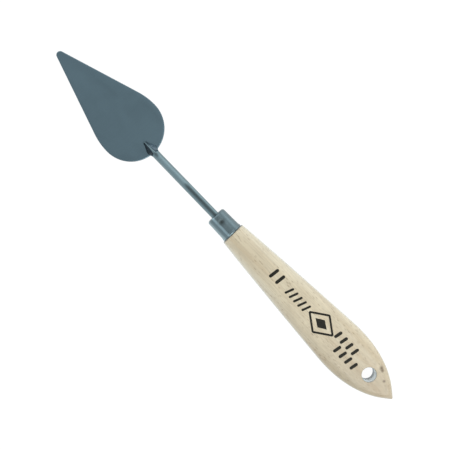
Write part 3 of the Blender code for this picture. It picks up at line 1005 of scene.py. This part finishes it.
def handle_wood():
    """The turned handle with its spigot, blind bore and hanging hole."""
    sides = 132
    shoulder_x = HANDLE_LENGTH
    spigot_front = shoulder_x + SPIGOT_LENGTH
    spigot_rear_r = ferrule_radius(FERRULE_REAR_X) - FERRULE_WALL - GAP
    spigot_front_r = ferrule_radius(spigot_front) - FERRULE_WALL - GAP
    chamfer = SPIGOT_CHAMFER
    rings = [
        round_ring(BORE_BOTTOM_X, BORE_RADIUS, sides),
        round_ring(spigot_front, BORE_RADIUS, sides),
        round_ring(spigot_front, spigot_front_r - chamfer, sides),
        round_ring(spigot_front - chamfer, spigot_front_r, sides),
        round_ring(shoulder_x, spigot_rear_r, sides),
    ]
    rounding = HANDLE_EDGE_ROUNDING
    for turn in np.linspace(0, math.pi / 2, 9):
        distance = rounding * (1 - math.cos(turn))
        half_width = HANDLE_FRONT_HALF_WIDTH - rounding * (1 - math.sin(turn))
        rings.append(handle_section(distance, half_width, sides))
    rings += [handle_section(distance, half_width, sides) for distance, half_width in OUTLINE]
    shape = Shape()
    shape.loft(rings)
    item = to_object("handle_wood", shape)
    drill_hanging_hole(item)
    mark_bore(item.data)
    return item


# ---- ink marks on the handle's upper face ---------------------------------------------------

# how far the ink stands over and reaches under the wood's face, the length of a stroke's pieces,
# and the least share of its width at its ends
INK_PROUD = 0.00002
INK_DEEP = 0.00003
INK_STEP = 0.25 * MM
INK_LEAST_WIDTH = 0.04


def ink_stroke(shape, x, y, length, width, turn, taper=0.0):
    """One printed bar with round ends, or a lozenge if taper is 1, laid on the curved face."""
    half_length, half_width = length / 2, width / 2
    along = max(6, int(length / INK_STEP))
    c, s = math.cos(turn), math.sin(turn)
    top, bottom = [], []
    for u in np.linspace(-1, 1, along + 1):
        over = max(0.0, abs(u) * half_length - (half_length - half_width)) / half_width
        round_end = math.sqrt(max(0.0, 1 - min(over, 1.0) ** 2))
        width_here = half_width * max(INK_LEAST_WIDTH, mix(round_end, 1 - abs(u), taper))
        upper, lower = [], []
        for v in np.linspace(-1, 1, 5):
            px = x + u * half_length * c - v * width_here * s
            py = y + u * half_length * s + v * width_here * c
            z = handle_top(px, py)
            upper.append((px, py, z + INK_PROUD))
            lower.append((px, py, z - INK_DEEP))
        top.append(upper)
        bottom.append(list(reversed(lower)))
    shape.loft([upper + lower for upper, lower in zip(top, bottom)])


def ink_row(shape, count, middle, pitch, length, width, lean):
    """A row of equal bars along the handle, each leaning against the row by the same angle."""
    for i in range(count):
        x = middle[0] + (i - (count - 1) / 2) * pitch
        ink_stroke(shape, x, middle[1], length, width, math.radians(lean))


def ink_lozenge(shape, middle, reach):
    """A lozenge's outline with a small solid lozenge inside."""
    side = math.hypot(*reach)
    lean = math.atan2(reach[1], reach[0])
    for sx, sy in ((1, 1), (1, -1), (-1, 1), (-1, -1)):
        x, y = middle[0] + sx * reach[0] / 2, middle[1] + sy * reach[1] / 2
        ink_stroke(shape, x, y, side + 0.5 * MM, 0.9 * MM, -sx * sy * lean)
    ink_stroke(shape, *middle, length=7.0 * MM, width=4.4 * MM, turn=0.0, taper=1.0)


def ink_marks():
    """Plain marks where the handle is printed: a pair of bars, hatching, a lozenge and two rows."""
    pair, hatching, lozenge, rows = Shape(), Shape(), Shape(), Shape()
    middle = (0.0747, -0.0009)
    ink_row(pair, 2, middle, pitch=3.8 * MM, length=5.2 * MM, width=1.4 * MM, lean=84)
    middle = (0.0614, -0.0004)
    ink_row(hatching, 5, middle, pitch=2.6 * MM, length=4.5 * MM, width=1.0 * MM, lean=70)
    ink_lozenge(lozenge, (0.0469, -0.0004), reach=(7.2 * MM, 5.0 * MM))
    for middle in ((0.0330, -0.0024), (0.0288, 0.0022)):
        ink_row(rows, 4, middle, pitch=3.5 * MM, length=4.1 * MM, width=1.4 * MM, lean=80)
    return [
        to_object("ink_pair", pair),
        to_object("ink_hatching", hatching),
        to_object("ink_lozenge", lozenge),
        to_object("ink_rows", rows),
    ]


# ---- the knife ------------------------------------------------------------------------------


def build_knife():
    dress(handle_wood(), beech(), body_grip, "handle")
    dress(ferrule_cap(), ferrule_steel(), body_grip, "ferrule")
    dress(shank_rod(), rod_steel(), body_grip, "shank")
    dress(weld_fillet(), weld_steel(), body_grip, "weld")
    print_ink = ink()
    for mark in ink_marks():
        dress(mark, print_ink, body_grip)
    sleeve = frame["nodes"]["tang_adhesive"]
    sleeve.data.materials.clear()
    sleeve.data.materials.append(adhesive())

    blade = dress(blade_plate(), blade_steel(), node="blade")
    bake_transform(blade)


# ---- stage, lights and camera ---------------------------------------------------------------

# The camera looks straight down and is turned so that the blade points to the picture's upper
# left. At PICTURE_LEVEL above the table the picture is PICTURE_WIDTH wide.
CAMERA_TURN = math.radians(226.0)
CAMERA_HEIGHT = 0.380
CAMERA_AT = (0.0001, -0.00017)
PICTURE_WIDTH = 0.1963
PICTURE_LEVEL = 0.0040
SENSOR_WIDTH = 36.0
CLIP_RANGE = (0.01, 20)

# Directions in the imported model's frame, toward the dark part of the ceiling that the blade
# mirrors and toward the studio's dimmer side.
DARK_PATCH = (-0.10, -0.04, 0.99)
DIM_SIDE = (0, 1, 0)
FLOOR_REACH = 3.0


def make_camera():
    data = bpy.data.cameras.new("camera")
    data.sensor_width = SENSOR_WIDTH
    data.lens = data.sensor_width * (CAMERA_HEIGHT - PICTURE_LEVEL) / PICTURE_WIDTH
    data.clip_start, data.clip_end = CLIP_RANGE
    camera = bpy.data.objects.new("camera", data)
    bpy.context.scene.collection.objects.link(camera)
    camera.location = (*CAMERA_AT, CAMERA_HEIGHT)
    camera.rotation_euler = (0, 0, CAMERA_TURN)
    bpy.context.scene.camera = camera


def make_floor():
    """A white table that is lit from below, so that nothing throws a hard shadow on it."""
    shape = Shape()
    signs = ((-1, -1), (1, -1), (1, 1), (-1, 1))
    corners = [(x * FLOOR_REACH, y * FLOOR_REACH, 0) for x, y in signs]
    shape.faces.append(tuple(shape.add(corners)))
    floor = to_object("floor", shape)
    floor.data.transform(STRAIGHT.inverted())
    paint = Paint("light_table", 0.0, 0.9, (0.08, 0.08, 0.08))
    paint.set(Specular_IOR_Level=0.1, Emission_Color=(1.0, 1.0, 1.0, 1), Emission_Strength=0.97)
    mottle = paint.noise((40, 40, 40), detail=2)
    paint.into("Base Color", paint.ramp(mottle, [(0.3, 0.075), (0.7, 0.085)]))
    floor.data.materials.append(paint.material)


def sky_shade(tree, direction, lowest, stops):
    """A colour for each way to look, by closeness to a direction: lowest gives 0, 1 gives 1."""
    where = tree.nodes.new("ShaderNodeTexCoord")
    closeness = tree.nodes.new("ShaderNodeVectorMath")
    closeness.operation = "DOT_PRODUCT"
    closeness.inputs[1].default_value = Vector(direction).normalized()
    tree.links.new(where.outputs["Generated"], closeness.inputs[0])
    share = tree.nodes.new("ShaderNodeMapRange")
    share.inputs["From Min"].default_value = lowest
    tree.links.new(closeness.outputs["Value"], share.inputs["Value"])
    return colour_ramp(tree, share.outputs["Result"], stops)


def make_world():
    """A pale studio, with a darker patch of ceiling nearly overhead and one side dimmer."""
    world = bpy.data.worlds.new("studio")
    bpy.context.scene.world = world
    world.use_nodes = True
    tree = world.node_tree
    ceiling = sky_shade(
        tree,
        DARK_PATCH,
        0.0,
        [
            (0.0, (1.23, 1.27, 1.30)),
            (0.3, (1.20, 1.24, 1.27)),
            (0.6, (1.02, 1.06, 1.08)),
            (0.8, (0.62, 0.65, 0.67)),
            (0.93, (0.50, 0.51, 0.52)),
            (1.0, 0.42),
        ],
    )
    sides = sky_shade(
        tree,
        DIM_SIDE,
        -1.0,
        [
            (0.0, 0.98),
            (0.06, 1.08),
            (0.16, 1.36),
            (0.5, 0.96),
            (0.85, (0.68, 0.69, 0.71)),
            (1.0, (0.70, 0.72, 0.74)),
        ],
    )
    both = tree.nodes.new("ShaderNodeVectorMath")
    both.operation = "MULTIPLY"
    tree.links.new(ceiling, both.inputs[0])
    tree.links.new(sides, both.inputs[1])
    tree.links.new(both.outputs["Vector"], tree.nodes["Background"].inputs["Color"])


def add_softbox(name, location, size, watts, colour):
    """A square area light that faces the origin."""
    data = bpy.data.lights.new(name, "AREA")
    data.shape = "SQUARE"
    data.size = size
    data.energy = watts
    data.color = colour
    light = bpy.data.objects.new(name, data)
    bpy.context.scene.collection.objects.link(light)
    light.location = location
    light.rotation_euler = (-Vector(location)).to_track_quat("-Z", "Y").to_euler()


def make_studio():
    make_floor()
    make_world()
    add_softbox(
        "side_softbox", (-0.35, -1.10, 0.55), size=1.0, watts=1.5, colour=(0.97, 0.99, 1.0)
    )
    add_softbox(
        "back_softbox", (-0.90, 0.10, 0.90), size=0.8, watts=8.0, colour=(1.0, 0.99, 0.97)
    )
    bpy.context.scene.view_settings.view_transform = "Standard"


make_camera()
make_studio()
build_knife()
